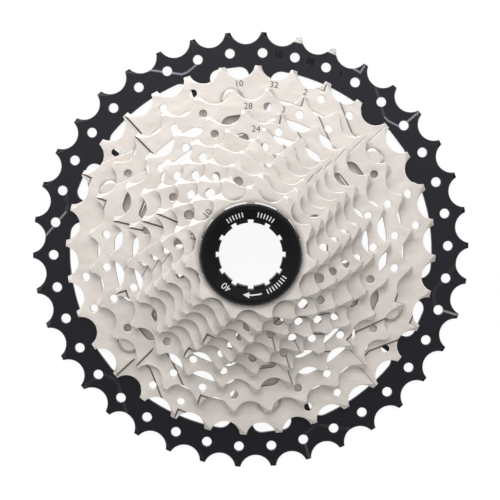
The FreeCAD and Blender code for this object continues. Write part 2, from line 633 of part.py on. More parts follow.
def build_rivets(doc, label, below, circle, shank, head):
    """Six rivets with a raised head at the front, and a countersunk tail flush with the back."""
    piece = Piece(doc, label, back_of(below))
    stack = f"(2 * sizes.plate_thickness + {GAP})"
    top = f"({stack} + sizes.rivet_head_height)"
    rim = f"({stack} + sizes.rivet_rim_height)"
    deep = "sizes.countersink_depth"
    profile = piece.upright_sketch("rivet_outline", circle, str(ARM_ANGLE))
    piece.outline(
        profile,
        [
            (NO_LENGTH, NO_LENGTH),
            (f"{shank} + {deep}", NO_LENGTH),
            (shank, deep),
            (shank, stack),
            (head, stack),
            (head, rim),
            (f"({head} - sizes.rivet_crown_inset)", top),
            (NO_LENGTH, top),
        ],
    )
    rivet = piece.spin("Revolution", "rivet", profile)
    piece.repeat("rivets", [rivet], ARM_COUNT)
    return piece


def build_spacers(doc):
    """Plain rings that keep the sprockets one spacing apart."""
    for below, above in zip(TEETH[1:7], TEETH[2:8]):
        if (below, above) == (28, 24):
            continue
        piece = Piece(doc, f"spacer_{below}_{above}", front_of(below))
        bore = "(sizes.spline_bore + sizes.spacer_clearance)"
        piece.ring("ring", bore, f"({bore} + sizes.spacer_wall)", GAP)


def build_lockring(doc):
    washer = Piece(doc, "lockring_washer", front_of(TEETH[-1]))
    bore = f"({THREAD} + sizes.sleeve_clearance)"
    washer.ring("ring", bore, FLANGE, "sizes.washer_thickness")

    piece = Piece(doc, "lockring", FLANGE_SEAT)
    top = "sizes.flange_thickness"
    low = "(0 - sizes.sleeve_length)"
    root = f"({THREAD} - sizes.thread_depth)"
    dish = "(sizes.flange_thickness - sizes.face_dish)"
    half_pitch = "(0.5 * sizes.thread_pitch)"
    profile = [
        (TOOL_BORE, low),
        (root, low),
    ]
    for ridge in range(THREAD_RIDGES):
        base = f"({low} + {ridge} * sizes.thread_pitch)"
        profile.append((THREAD, f"{base} + {half_pitch}"))
        profile.append((root, f"{base} + 2 * {half_pitch}"))
    profile += [
        (root, NO_LENGTH),
        (FLANGE, NO_LENGTH),
        (FLANGE, f"{top} - sizes.flange_bevel"),
        (f"{FLANGE} - sizes.flange_bevel", top),
        (THREAD, top),
        (f"({TOOL_NOTCH} + sizes.dish_step)", dish),
        (TOOL_BORE, dish),
    ]
    outline = piece.upright_sketch("profile")
    piece.outline(outline, profile)
    piece.spin("Revolution", "ring", outline)

    notch = piece.sketch("tool_notch_outline", turn=str(SPLINE_ANGLE))
    piece.sector(notch, f"({TOOL_BORE} - sizes.tool_notch_depth)", TOOL_NOTCH, "sizes.tool_notch_half_angle")
    piece.repeat("tool_notches", [piece.cut_through("tool_notch", notch)], TOOL_NOTCH_COUNT)

    knurl = piece.sketch("knurl_outline")
    inner = f"({FLANGE} - sizes.knurl_depth)"
    outer = f"({FLANGE} + sizes.knurl_depth)"
    piece.outline(
        knurl,
        [(inner, NO_LENGTH), (outer, "2 * sizes.knurl_depth"), (outer, "-2 * sizes.knurl_depth")],
    )
    piece.repeat("knurls", [piece.cut_through("knurl", knurl)], KNURL_COUNT)


def check(doc):
    """Stops if a feature failed or a piece has no sound solid."""
    for item in doc.Objects:
        if {"Invalid", "Error"} & set(item.State):
            raise RuntimeError(f"{item.Label} failed: {item.State}")
    for body in doc.findObjects("PartDesign::Body"):
        shape = body.Shape
        if shape.isNull() or not shape.isValid() or shape.Volume <= 0:
            raise RuntimeError(f"{body.Label} has no sound shape")


def main():
    doc = FreeCAD.newDocument("cassette")
    make_sheet(doc)
    build_riveted_sprockets(doc)
    build_carriers(doc)
    build_rivets(doc, "large_rivets", 38, LARGE_RIVET_CIRCLE, "sizes.rivet_shank", "sizes.rivet_head")
    build_rivets(
        doc, "small_rivets", 28, SMALL_RIVET_CIRCLE, "sizes.small_rivet_shank", "sizes.small_rivet_head"
    )
    build_loose_sprockets(doc)
    build_spacers(doc)
    build_lockring(doc)
    doc.recompute()
    check(doc)
    os.makedirs("parts", exist_ok=True)
    for body in doc.findObjects("PartDesign::Body"):
        body.Shape.exportStep(f"parts/{body.Label}.step")
        box = body.Shape.BoundBox
        print(f"{body.Label}: {len(body.Shape.Solids)} solids, {body.Shape.Volume:.0f} mm3, top {box.ZMax:.2f}")


main()
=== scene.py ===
"""Looks for a ten-speed bicycle cassette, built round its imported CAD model.

The wheel axle is +Z and the lockring faces up, so the cassette lies on its largest sprocket.
Lengths are in metres. Angles turn anticlockwise as seen from the lockring.
"""

import json
import math

import bpy
import numpy as np
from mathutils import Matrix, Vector


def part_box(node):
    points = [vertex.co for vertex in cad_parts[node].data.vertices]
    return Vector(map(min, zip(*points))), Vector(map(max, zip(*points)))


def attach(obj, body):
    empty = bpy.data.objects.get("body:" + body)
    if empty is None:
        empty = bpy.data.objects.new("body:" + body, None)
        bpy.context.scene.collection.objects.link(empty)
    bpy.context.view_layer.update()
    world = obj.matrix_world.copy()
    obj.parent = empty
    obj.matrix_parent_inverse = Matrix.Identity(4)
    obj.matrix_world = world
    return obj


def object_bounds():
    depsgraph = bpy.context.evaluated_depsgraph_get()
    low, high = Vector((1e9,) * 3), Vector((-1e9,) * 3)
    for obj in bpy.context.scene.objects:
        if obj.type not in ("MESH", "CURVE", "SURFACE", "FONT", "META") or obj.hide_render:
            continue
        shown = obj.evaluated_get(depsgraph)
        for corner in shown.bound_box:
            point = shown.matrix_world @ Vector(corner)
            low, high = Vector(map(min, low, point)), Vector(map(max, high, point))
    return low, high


bl_info = {
    "name": "Cassette finishes",
    "version": (1, 0, 0),
    "blender": (4, 5, 0),
    "location": "View3D > Sidebar > Cassette",
    "description": "Finishes, stamped numbers, printed marks and a studio for a bicycle cassette",
    "category": "Object",
}

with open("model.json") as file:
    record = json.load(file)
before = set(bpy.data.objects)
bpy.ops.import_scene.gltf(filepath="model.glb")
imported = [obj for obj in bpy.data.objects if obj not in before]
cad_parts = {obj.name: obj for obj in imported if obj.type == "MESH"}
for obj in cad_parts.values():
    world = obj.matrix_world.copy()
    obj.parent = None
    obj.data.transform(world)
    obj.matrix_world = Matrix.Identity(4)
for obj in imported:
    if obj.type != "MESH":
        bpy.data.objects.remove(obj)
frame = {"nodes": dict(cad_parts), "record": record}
CAD_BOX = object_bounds()
NODES = frame["nodes"]
BODY_OF = {node: body for body, nodes in frame["record"]["behaviour"]["bodies"].items() for node in nodes}
BASE = CAD_BOX[0].z
CHAIN_PITCH = 0.0127
PLATE = (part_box("sprocket_38t")[1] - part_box("sprocket_38t")[0]).z
LOCKRING_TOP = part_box("lockring")[1].z

NICKEL_SPROCKETS = (32, 28, 24, 21, 19, 17, 15, 13, 11)
SPACERS = ("spacer_32_28", "spacer_24_21", "spacer_21_19", "spacer_19_17", "spacer_17_15")
# Plain numbers stamped in each sprocket's face: the drop below its pitch circle, then each text and its angle.
STAMPS = {
    38: (0.0069, (("10", 82.0), ("38", 72.5), ("1", 63.0))),
    32: (0.0059, (("10", 94.0), ("32", 82.0), ("2", 71.0))),
    28: (0.0060, (("28", 91.0), ("3", 77.0))),
    24: (0.0060, (("24", 87.5),)),
    13: (0.0066, (("10", 137.0), ("13", 163.0), ("9", 185.0))),
}
FONT_SIZE = 1.4  # a font's size over the height of its figures

# The largest sprocket's two short teeth, which are cut to bare steel: middle, reach to each side and blend,
# by angle, and then how far in from the tips the cut goes, and its blend.
STUB_MIDDLE, STUB_REACH, STUB_BLEND = 72.3, 7.6, 0.6
CUT_DEPTH, CUT_BLEND = 0.0022, 0.0003

# The lockring's print, by angle: spans of short bars, a stretch with none, and the arrow from tip to tail.
BAR_SPANS = ((56.0, 128.0), (294.0, 330.0))
BARE_SPAN = (80.0, 100.0)
BAR_STEP, BAR_WIDTH = 4.5, 1.6
ARROW_TIP, ARROW_NECK, ARROW_TAIL = 259.0, 268.0, 286.0
PRINTED_NUMBER, NUMBER_ANGLE = "40", 233.0
ARROW_POINT = 0.00001  # width of the arrow's tip

TOOL_RING = 0.00016  # from one turned ring on the lockring to the next
WASHER_RIPPLES = 72

# Each lamp's place, width, the light property that it follows and its share of that power.
LAMPS = {
    "key_lamp": ((-0.25, 1.10, 1.20), 1.3, "key", 1.0),
    "back_lamp": ((0.0, 1.20, 0.14), 0.6, "rim", 1.1),
    "left_lamp": ((-0.9, 0.2, 0.35), 0.4, "rim", 1.0),
    "right_lamp": ((0.9, 0.2, 0.35), 0.4, "rim", 1.0),
}
# The room light: the direction that it leans to, its tint, and its brightness from opposite to along it.
SKY_LEAN = (0.0, 0.46, 0.888)
SKY_TINT = (1.0, 0.98, 0.955)
SKY_STOPS = ((0.0, 0.45), (0.45, 0.12), (0.66, 0.16), (0.81, 0.34), (0.92, 1.35), (1.0, 1.45))

FLOOR_REACH = 3.0  # from the axle to each side
FLOOR_GAP = 0.00005  # the floor stands this far below the cassette, so that the two never fight
FLOOR_GLOW = 1.06  # brightness of the floor as it is seen
FLOOR_GLOW_SHARE = 0.88  # the rest is the lit floor, which holds the shadow

CAMERA_PLACE = (0.0, 0.025, 0.650)
CAMERA_AIM = (-0.00025, 0.00012, PLATE)
CAMERA_LENS, CAMERA_SENSOR = 131.6, 36.0  # in millimetres
CAMERA_NEAR, CAMERA_FAR = 0.01, 20.0


def length(name, description, value):
    """A length property, in metres."""
    return bpy.props.FloatProperty(name=name, description=description, default=value, min=0, unit="LENGTH")


def strength(name, description, value, unit):
    """A property for how strong a light is."""
    return bpy.props.FloatProperty(name=name, description=description, default=value, min=0, unit=unit)


def colour(name, description, value):
    """A colour property."""
    return bpy.props.FloatVectorProperty(
        name=name, description=description, default=value, size=3, min=0, max=1, subtype="COLOR"
    )


class CassetteSizes(bpy.types.PropertyGroup):
    """Sizes of the marks that are added to the plain metal."""

    stamp_height: length("Stamp height", "Height of a stamped number", 0.0022)
    stamp_relief: length("Stamp relief", "How far a number stands off the plate", 0.00003)
    print_inner: length("Print inner radius", "Inner radius of the lockring's marks", 0.0127)
    print_outer: length("Print outer radius", "Outer radius of the lockring's marks", 0.0144)
    print_relief: length("Print relief", "Thickness of the printed marks", 0.00003)
    dish_inner: length("Dish inner radius", "Where the lockring's face is lowest", 0.01197)
    dish_outer: length("Dish outer radius", "Where the lockring's face levels out", 0.0153)
    dish_depth: length("Dish depth", "How far the lockring's face sinks", 0.00035)
    # The edge width also sets how wide the painted edge highlights are.
    edge_width: length("Edge width", "Width of the bright rolled edges", 0.00045)


class CassetteColours(bpy.types.PropertyGroup):
    """Base colours of the finishes, linear."""

    nickel: colour("Nickel", "Face of the nickel-plated sprockets", (0.85, 0.80, 0.755))
    # Painted shade: this near-black colour on the plates' sheared walls stands in for the shade on them.
    nickel_wall_shade: colour("Nickel wall", "Sheared walls of the same plates", (0.13, 0.11, 0.095))
    # Painted highlight: this bright colour on the edges of the plates, carriers and rivets stands in for the
    # light that they catch.
    nickel_edge_highlight: colour("Nickel edge", "Rolled edge of the same plates", (1.0, 0.97, 0.955))
    black_coat: colour("Black coat", "Coat on the largest sprocket", (0.0028, 0.0030, 0.0070))
    # Painted highlight: this paler colour on the black coat's edges and ramp walls stands in for the light
    # that they catch.
    black_coat_highlight: colour("Black edge", "Where that coat is thin", (0.24, 0.24, 0.27))
    bare_steel: colour("Bare steel", "Where that coat is cut away", (0.72, 0.70, 0.68))
    alloy: colour("Alloy", "Forged carriers", (0.62, 0.61, 0.60))
    anodised: colour("Anodised", "Black anodised lockring", (0.003, 0.003, 0.004))
    anodised_edge: colour("Anodised edge", "Where the anodising is thin", (0.30, 0.30, 0.31))
    plastic: colour("Plastic", "Moulded spacers", (0.030, 0.030, 0.032))
    plastic_scuff: colour("Plastic scuff", "Rubbed edges of the spacers", (0.10, 0.10, 0.10))
    mark: colour("Mark", "Stamped numbers on bright plates", (0.16, 0.15, 0.14))
    black_mark: colour("Black mark", "Stamped numbers on the black plate", (0.001, 0.001, 0.0015))
    pale_mark: colour("Pale mark", "Print on the lockring", (0.80, 0.80, 0.80))
    floor: colour("Floor", "Studio floor", (0.90, 0.90, 0.90))


class CassetteLights(bpy.types.PropertyGroup):
    """Strengths of the studio's lights."""

    sky: strength("Sky", "Soft room light", 1.0, "NONE")
    key: strength("Key", "Large lamp at the top", 14.0, "POWER")
    rim: strength("Rim", "Low lamps at the sides and the back", 1.0, "POWER")


class Field:
    """A number that varies over a surface: it wraps a socket, and arithmetic on it adds Math nodes."""

    def __init__(self, finish, socket):
        self.finish = finish
        self.socket = socket

    def maths(self, operation, *values, clamp=False):
        """The result of a Math node, in the order in which its inputs are given."""
        settings = {"operation": operation, "use_clamp": clamp}
        made = self.finish.node("ShaderNodeMath", settings, dict(enumerate(values)))
        return Field(self.finish, made.outputs[0])

    def __add__(self, other):
        return self.maths("ADD", self, other)

    __radd__ = __add__

    def __sub__(self, other):
        return self.maths("SUBTRACT", self, other)

    def __rsub__(self, other):
        return self.maths("SUBTRACT", other, self)

    def __mul__(self, other):
        return self.maths("MULTIPLY", self, other)

    __rmul__ = __mul__

    def __pow__(self, other):
        return self.maths("POWER", self, other)

    def size(self):
        """How far it is from 0, whatever its sign."""
        return self.maths("ABSOLUTE", self)

    def clamped(self):
        """Kept between 0 and 1."""
        return self.maths("ADD", self, 0, clamp=True)

    def largest(self, other):
        """Whichever of the two is larger."""
        return self.maths("MAXIMUM", self, other)

    def wave(self):
        """Its sine."""
        return self.maths("SINE", self)

    def step(self, low, high):
        """0 below low and 1 above high, smooth in between."""
        made = self.finish.node(
            "ShaderNodeMapRange",
            {"interpolation_type": "SMOOTHSTEP"},
            {"Value": self, "From Min": low, "From Max": high},
        )
        return Field(self.finish, made.outputs["Result"])


class Tree:
    """The node tree of a material or a world, under construction."""

    def __init__(self, owner):
        owner.use_nodes = True
        self.tree = owner.node_tree
        self.tree.nodes.clear()

    def node(self, kind, settings=None, values=None):
        """A node: its settings first, a ramp's stops among them, and then its sockets' values or links."""
        made = self.tree.nodes.new(kind)
        for name, value in (settings or {}).items():
            if name == "stops":
                self.place_stops(made.color_ramp.elements, value)
            else:
                setattr(made, name, value)
        for socket, value in (values or {}).items():
            value = value.socket if isinstance(value, Field) else value
            if isinstance(value, bpy.types.NodeSocket):
                self.tree.links.new(value, made.inputs[socket])
            else:
                made.inputs[socket].default_value = value
        return made

    def place_stops(self, elements, stops):
        """Puts a ramp's stops, each a place and a colour. A new ramp already has its first and its last."""
        for place, _ in stops[1:-1]:
            elements.new(place)
        for element, (place, tint) in zip(elements, stops):
            element.position = place
            element.color = tint


class Finish(Tree):
    """A material under construction, with the fields that every finish starts from."""

    def __init__(self, name):
        self.material = bpy.data.materials.new(name)
        super().__init__(self.material)
        self.coordinates = self.node("ShaderNodeTexCoord").outputs["Object"]
        parts = self.node("ShaderNodeSeparateXYZ", values={0: self.coordinates})
        self.x, self.y = (Field(self, parts.outputs[axis]) for axis in "XY")
        self.away = (self.x * self.x + self.y * self.y) ** 0.5
        self.facing = self.node("ShaderNodeNewGeometry").outputs["True Normal"]
        parts = self.node("ShaderNodeSeparateXYZ", values={0: self.facing})
        self.flat = Field(self, parts.outputs["Z"]).size()
        self.backwards = Field(self, parts.outputs["Y"])

    def turn(self):
        """Angle round the axle, in radians."""
        return self.y.maths("ARCTAN2", self.y, self.x)

    def noise(self, scale, detail, stretch=None):
        """Cloudy pattern from 0 to 1, with about scale blobs to the metre, or stretched along an axis."""
        where = self.coordinates
        if stretch:
            where = self.node("ShaderNodeMapping", values={"Vector": where, "Scale": stretch}).outputs[0]
        made = self.node("ShaderNodeTexNoise", values={"Vector": where, "Scale": scale, "Detail": detail})
        return Field(self, made.outputs["Fac"])

    def edges(self, width, gain=12.0):
        """1 on convex and concave edges, falling to 0 within about width of them."""
        rounded = self.node("ShaderNodeBevel", {"samples": 6}, {"Radius": width})
        both = {0: rounded.outputs[0], 1: self.facing}
        match = self.node("ShaderNodeVectorMath", {"operation": "DOT_PRODUCT"}, both)
        return ((1 - Field(self, match.outputs["Value"])) * gain).clamped()

    def ramps(self):
        """1 on the sloping walls of the shift ramps, which are steeper than any other sloping face."""
        too_steep, too_flat = (0.60, 0.68), (0.80, 0.86)
        return self.flat.step(*too_steep) * (1 - self.flat.step(*too_flat))

    def open_air(self, reach):
        """1 in the open, and less in corners and beside walls within reach; used to darken the colour there as
        painted shade.
        """
        made = self.node("ShaderNodeAmbientOcclusion", {"samples": 6}, {"Distance": reach})
        return Field(self, made.outputs["AO"])

    def blend(self, share, first, second):
        """A colour that goes from first to second as share goes from 0 to 1."""
        first, second = (c if isinstance(c, bpy.types.NodeSocket) else (*c, 1.0) for c in (first, second))
        made = self.node("ShaderNodeMix", {"data_type": "RGBA"}, {0: share, 6: first, 7: second})
        return made.outputs[2]

    def shade(self, base, share):
        """A colour multiplied by a field."""
        grey = self.node("ShaderNodeCombineXYZ", values={0: share, 1: share, 2: share})
        made = self.node("ShaderNodeVectorMath", {"operation": "MULTIPLY"}, {0: base, 1: grey.outputs[0]})
        return made.outputs[0]

    def bump(self, height, distance, strength, under=None):
        """The normal of a relief, distance deep at most, on top of another normal if one is given."""
        values = {"Height": height, "Distance": distance, "Strength": strength}
        if under is not None:
            values["Normal"] = under
        return self.node("ShaderNodeBump", values=values).outputs[0]

    def rounded(self, width):
        """The normal with the edges rounded to this radius."""
        return self.node("ShaderNodeBevel", {"samples": 6}, {"Radius": width}).outputs[0]

    def surface(self, **values):
        """The shader itself. Names are its sockets, with underscores for spaces."""
        sockets = {name.replace("_", " "): value for name, value in values.items()}
        shader = self.node("ShaderNodeBsdfPrincipled", values=sockets)
        self.node("ShaderNodeOutputMaterial", values={"Surface": shader.outputs[0]})
        return self.material


def paint(material, nodes):
    """Puts one material on every slot of these CAD nodes."""
    for name in nodes:
        slots = NODES[name].material_slots
        if not slots:
            raise RuntimeError(f"{name} has no material slot")
        for slot in slots:
            slot.material = material


def colours(context):
    """The colours that the user has chosen."""
    return context.scene.cassette_colours


def sizes(context):
    """The sizes that the user has chosen."""
    return context.scene.cassette_sizes


def nickel_finish(context):
    """Satin nickel on pressed steel: grain and clouds, painted shade on the sheared walls, in corners and on
    ramp walls that face away from the key lamp, and painted highlights on the edges.
    """
    paints, width = colours(context), sizes(context).edge_width
    finish = Finish("nickel_steel")
    clouds = finish.noise(70, 3)
    grain = finish.noise(5200, 2)
    drawn = finish.noise(900, 2, (1.0, 0.06, 1.0))
    edge = finish.edges(width, 20) * finish.flat.step(0.80, 0.96)
    # Painted shade: the steep walls are coloured towards the dark wall colour.
    wall = 1 - finish.flat.step(0.35, 0.9)
    # Painted shade: ramp walls are darkened, most where they face away from the key lamp at +Y.
    shaded = finish.ramps() * (0.75 - 0.6 * finish.backwards.step(0.1, 0.6))
    base = finish.blend(wall.largest(shaded), paints.nickel, paints.nickel_wall_shade)
    # Painted shade: the colour darkens in corners and beside the walls of the next plate up.
    corner_shade = 0.16 + 0.84 * finish.open_air(0.0021) ** 2
    base = finish.shade(base, (0.76 + 0.32 * clouds + 0.10 * grain) * corner_shade)
    # Painted highlight: the edges of the faces are brightened towards the edge highlight colour.
    base = finish.blend((edge * (0.8 + 0.4 * grain)).clamped(), base, paints.nickel_edge_highlight)
    rough = 0.42 + 0.12 * clouds + 0.10 * (drawn - 0.5) + 0.08 * wall - 0.12 * edge
    waves = finish.bump(finish.noise(130, 2), 0.00045, 0.6, finish.rounded(0.6 * width))
    relief = finish.bump(grain + 0.8 * drawn, 0.000030, 0.6, waves)
    return finish.surface(Base_Color=base, Metallic=0.8, Roughness=rough, Normal=relief)


def black_coat_finish(context):
    """Satin bluish black coat, with painted highlights on its edges and on the ramp walls that face the key
    lamp, and cut to bare steel on the two short teeth.
    """
    paints, width = colours(context), sizes(context).edge_width
    finish = Finish("black_steel")
    grain = finish.noise(4200, 2)
    clouds = finish.noise(90, 3)
    edge = finish.edges(width)
    # Painted highlight: the ramp walls that face the key lamp at +Y.
    lit = finish.ramps() * finish.backwards.step(0.1, 0.45)
    low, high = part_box("sprocket_38t")
    cut = 0.5 * (high.x - low.x) - CUT_DEPTH
    turn = finish.turn() * (180 / math.pi)
    beside = (turn - STUB_MIDDLE).size().step(STUB_REACH, STUB_REACH + STUB_BLEND)
    stubs = (1 - beside) * finish.away.step(cut, cut + CUT_BLEND)
    bright = (stubs * (0.9 + 0.2 * clouds)).clamped()
    # Painted highlight: the edges and the lit ramp walls are blended towards the paler highlight colour.
    thin = (edge * (0.35 + 0.5 * grain)).largest(lit * (0.9 + 0.6 * grain)).clamped()
    base = finish.shade(finish.blend(thin, paints.black_coat, paints.black_coat_highlight), 0.9 + 0.2 * grain)
    base = finish.blend(bright, base, paints.bare_steel)
    rough = 0.19 + 0.10 * clouds + 0.06 * grain + 0.24 * bright
    relief = finish.bump(grain, 0.000010, 0.5, finish.rounded(0.6 * width))
    return finish.surface(
        Base_Color=base,
        Metallic=bright,
        Roughness=rough,
        Normal=relief,
        Specular_IOR_Level=0.40,
        Specular_Tint=(0.90, 0.90, 1.0, 1.0),
    )


def alloy_finish(context):
    """Forged and shot-peened alloy: small dimples, soft clouds and painted highlights on the edges."""
    paints, width = colours(context), sizes(context).edge_width
    finish = Finish("carrier_alloy")
    dimples = finish.noise(2600, 1)
    clouds = finish.noise(110, 3)
    edge = finish.edges(width)
    # Painted highlight: the edges are brightened towards the nickel edge highlight colour.
    base = finish.blend(edge * 0.6, paints.alloy, paints.nickel_edge_highlight)
    base = finish.shade(base, 0.9 + 0.12 * clouds + 0.06 * dimples)
    relief = finish.bump(dimples, 0.00003, 0.6, finish.rounded(width))
    return finish.surface(Base_Color=base, Metallic=1.0, Roughness=0.42 + 0.1 * dimples, Normal=relief)


def rivet_finish(context):
    """Plated rivets, finely grained, with painted highlights on the edges."""
    paints, width = colours(context), sizes(context).edge_width
    finish = Finish("rivet_steel")
    grain = finish.noise(3800, 2)
    edge = finish.edges(width)
    # Painted highlight: the edges are brightened towards the nickel edge highlight colour.
    base = finish.shade(finish.blend(edge * 0.7, paints.nickel, paints.nickel_edge_highlight), 0.86 + 0.16 * grain)
    relief = finish.bump(grain, 0.00002, 0.5, finish.rounded(width))
    return finish.surface(Base_Color=base, Metallic=1.0, Roughness=0.32 + 0.14 * grain, Normal=relief)


def plastic_finish(context):
    """Moulded black spacers: a fine spark-eroded grain and paler scuffed edges."""
    paints, width = colours(context), sizes(context).edge_width
    finish = Finish("spacer_plastic")
    grain = finish.noise(6500, 3)
    clouds = finish.noise(150, 2)
    edge = finish.edges(width)
    base = finish.blend(edge * (0.2 + 0.3 * clouds), paints.plastic, paints.plastic_scuff)
    relief = finish.bump(grain, 0.00003, 0.6, finish.rounded(width))
    return finish.surface(Base_Color=base, Roughness=0.52 + 0.14 * grain, Normal=relief)


def anodised_finish(context):
    """Turned and black anodised alloy: fine concentric tool rings and thin bright edges."""
    paints, width = colours(context), sizes(context).edge_width
    finish = Finish("lockring_alloy")
    grain = finish.noise(5000, 2)
    rings = (finish.away * (2 * math.pi / TOOL_RING)).wave()
    edge = finish.edges(width)
    base = finish.blend(edge * (0.10 + 0.25 * grain), paints.anodised, paints.anodised_edge)
    relief = finish.bump(0.5 * rings + grain, 0.000006, 0.5, finish.rounded(0.6 * width))
    rough = 0.34 + 0.05 * rings + 0.10 * grain
    return finish.surface(Base_Color=base, Roughness=rough, Normal=relief, Specular_IOR_Level=0.16)


def washer_finish(context):
    """Thin plated washer with the ripples of a toothed face."""
    paints = colours(context)
    finish = Finish("washer_steel")
    grain = finish.noise(4000, 2)
    ripples = (finish.turn() * WASHER_RIPPLES).wave()
    # The washer borrows the dark wall colour only as a darker tone that varies with the grain.
    base = finish.shade(finish.blend(0.3 * grain, paints.nickel, paints.nickel_wall_shade), 0.9 + 0.1 * grain)
    relief = finish.bump(0.6 * ripples + 0.4 * grain, 0.00003, 0.5)
    return finish.surface(Base_Color=base, Metallic=1.0, Roughness=0.38 + 0.12 * grain, Normal=relief)


def stamp_finish(name, paint_colour, rough, shine=0.5):
    """Shallow marks in one paint, uneven where the tool bit less."""
    finish = Finish(name)
    grain = finish.noise(6000, 2)
    base = finish.shade(tuple(paint_colour), 0.75 + 0.45 * grain)
    relief = finish.bump(grain, 0.00001, 0.4)
    return finish.surface(
        Base_Color=base, Roughness=rough + 0.2 * grain, Normal=relief, Specular_IOR_Level=shine
    )


def new_piece(name, points, faces, material, body, slot=None):
    """A mesh at the origin from arrays of points and faces, riding on a body."""
    mesh = bpy.data.meshes.new(name)
    mesh.from_pydata(points, [], faces)
    mesh.materials.append(material)
    mesh.update()
    piece = bpy.data.objects.new(name, mesh)
    bpy.context.scene.collection.objects.link(piece)
    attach(piece, body)
    return piece


def pitch_radius(teeth):
    """Radius of the circle through a chain's pins round this many teeth."""
    return 0.5 * CHAIN_PITCH / math.sin(math.pi / teeth)


def letters(text, height, relief):
    """Points and faces of a flat text, centred on the origin, with its back at z = 0."""
    curve = bpy.data.curves.new("letters", "FONT")
    curve.body = text
    curve.size = FONT_SIZE * height
    curve.extrude = 0.5 * relief
    curve.resolution_u = 4
    curve.align_x = "CENTER"
    curve.align_y = "CENTER"
    holder = bpy.data.objects.new("letters", curve)
    mesh = bpy.data.meshes.new_from_object(holder)
    points = np.empty(3 * len(mesh.vertices))
    mesh.vertices.foreach_get("co", points)
    points = points.reshape(-1, 3)
    points[:, 2] += 0.5 * relief
    faces = [tuple(face.vertices) for face in mesh.polygons]
    bpy.data.meshes.remove(mesh)
    bpy.data.objects.remove(holder)
    bpy.data.curves.remove(curve)
    return points, faces


def round_axle(points, angle, radius):
    """Bends flat points round the axle: x becomes an arc, y the radius, and z stays.

    A point at (x, y, z) goes to the angle that is x / radius short of the given one, at radius + y.
    """
    turn = angle - points[:, 0] / radius
    away = radius + points[:, 1]
    return np.stack([away * np.cos(turn), away * np.sin(turn), points[:, 2]], axis=1)


def joined(parts):
    """One list of points and one of faces from several."""
    points, faces, start = [], [], 0
    for more, more_faces in parts:
        points.append(more)
        faces += [tuple(start + corner for corner in face) for face in more_faces]
        start += len(more)
    return np.concatenate(points), faces


def stamp_sprockets(context):
    """Plain numbers on the sprockets' faces, one piece for each sprocket."""
    chosen, paints = sizes(context), colours(context)
    dark = stamp_finish("stamped_number", paints.mark, 0.45)
    black = stamp_finish("black_number", paints.black_mark, 0.5, 0.06)
    for teeth, (drop, stamps) in STAMPS.items():
        node = f"sprocket_{teeth}t"
        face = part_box(node)[0].z + PLATE
        parts = []
        for text, angle in stamps:
            points, faces = letters(text, chosen.stamp_height, chosen.stamp_relief)
            points = round_axle(points, math.radians(angle), pitch_radius(teeth) - drop)
            points[:, 2] += face
            parts.append((points, faces))
        material, slot = (black, "black_steel") if teeth == 38 else (dark, "nickel_steel")
        new_piece(f"numbers_{teeth}t", *joined(parts), material, BODY_OF[node], slot)


def ring_patch(start, end, inner, outer, steps):
    """Grid patch on a ring, between two angles and two radii, each radius given at the start and at the end.

    With u from 0 to 1 along it and v from 0 to 1 across it, a point is at angle start + u (end - start) and
    radius low + v (high - low), where low and high run evenly from their first value to their second.
    """
    u, v = np.meshgrid(np.linspace(0, 1, steps + 1), np.linspace(0, 1, 2), indexing="ij")
    turn = np.radians(start + u * (end - start))
    low = inner[0] + u * (inner[1] - inner[0])
    high = outer[0] + u * (outer[1] - outer[0])
    away = low + v * (high - low)
    points = np.stack([away * np.cos(turn), away * np.sin(turn), np.zeros_like(away)], axis=-1)
    corner = 2 * np.arange(steps)
    faces = np.stack([corner + 2, corner + 3, corner + 1, corner], axis=1)
    return points.reshape(-1, 3), [tuple(face) for face in faces.tolist()]


def print_lockring(context):
    """Printed marks on the lockring: a scale of short bars, a plain number and the tightening arrow."""
    chosen, paints = sizes(context), colours(context)
    inner, outer = chosen.print_inner, chosen.print_outer
    middle = 0.5 * (inner + outer)
    height = outer - inner
    parts = []
    for start, end in BAR_SPANS:
        for angle in np.arange(start, end, BAR_STEP):
            if not BARE_SPAN[0] <= angle <= BARE_SPAN[1]:
                parts.append(ring_patch(angle, angle + BAR_WIDTH, (inner, inner), (outer, outer), 2))
    low, high = middle - 0.14 * height, middle + 0.14 * height
    parts.append(ring_patch(ARROW_NECK, ARROW_TAIL, (low, low), (high, high), 8))
    low, high = (middle, middle - 0.6 * height), (middle + ARROW_POINT, middle + 0.6 * height + ARROW_POINT)
    parts.append(ring_patch(ARROW_TIP, ARROW_NECK, low, high, 8))
    points, faces = letters(PRINTED_NUMBER, 1.35 * height, 0)
    parts.append((round_axle(points, math.radians(NUMBER_ANGLE), middle), faces))
    points, faces = joined(parts)
    away = np.hypot(points[:, 0], points[:, 1])
    slope = chosen.dish_depth / (chosen.dish_outer - chosen.dish_inner)
    points[:, 2] = LOCKRING_TOP - slope * (chosen.dish_outer - away) + chosen.print_relief
    white = stamp_finish("printed_mark", paints.pale_mark, 0.5)
    piece = new_piece("lockring_marks", points, faces, white, BODY_OF["lockring"])
    wall = piece.modifiers.new("thickness", "SOLIDIFY")
    wall.thickness = 1.2 * chosen.print_relief
    wall.offset = -1


def add_lamp(name, place, width, power):
    """A round lamp that faces the origin."""
    data = bpy.data.lights.new(name, "AREA")
    data.shape = "DISK"
    data.size = width
    data.energy = power
    lamp = bpy.data.objects.new(name, data)
    lamp.location = place
    lamp.rotation_euler = (-lamp.location).to_track_quat("-Z", "Y").to_euler()
    bpy.context.scene.collection.objects.link(lamp)


